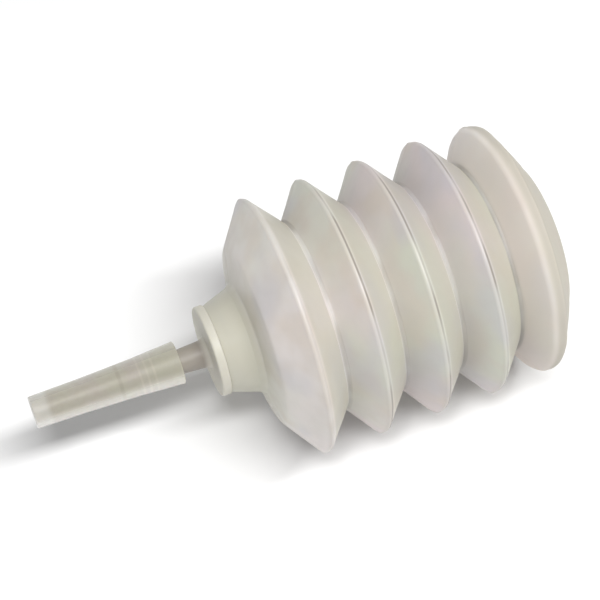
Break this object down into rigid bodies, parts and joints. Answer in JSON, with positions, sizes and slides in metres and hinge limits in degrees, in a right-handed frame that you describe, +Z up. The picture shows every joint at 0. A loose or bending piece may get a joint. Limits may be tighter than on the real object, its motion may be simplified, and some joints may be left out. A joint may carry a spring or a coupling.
{
  "type": "accordion squeeze bottle with nozzle",
  "caption": "Translucent accordion squeeze bottle with a plug-in nozzle on its neck and a long closed push-on cap over the nozzle's stem.",
  "frame": {"origin": "middle of the footprint, on the surface that the bottle lies on", "axes": "+X along the bottle's axis from the nozzle cap towards the base, +Z up; the bottle lies on its pleat crests"},
  "size_m": [0.0762, 0.038, 0.038],
  "materials": {
    "bottle_plastic": "waxy satin, milky and translucent",
    "nozzle_plastic": "smooth moulded, milky and translucent",
    "cap_plastic": "smooth moulded, milky and translucent"
  },
  "bodies": {
    "bottle_front": {"front_shell": "bottle_plastic", "bellows": "bottle_plastic"},
    "bottle_base": {"base_shell": "bottle_plastic"},
    "nozzle_insert": {"nozzle": "nozzle_plastic"},
    "cap": {"nozzle_cap": "cap_plastic"}
  },
  "joints": [
    {"name": "base_squeeze", "type": "slide", "parent": "bottle_front", "child": "bottle_base", "axis": [-1, 0, 0], "range_m": [0, 0.012], "stiffness_N_per_m": 400, "deforming": ["bellows"]},
    {"name": "nozzle_pull", "type": "slide", "parent": "bottle_front", "child": "nozzle_insert", "axis": [-1, 0, 0], "range_m": [0, 0.012]},
    {"name": "cap_pull", "type": "slide", "parent": "nozzle_insert", "child": "cap", "axis": [-1, 0, 0], "range_m": [0, 0.026]}
  ]
}
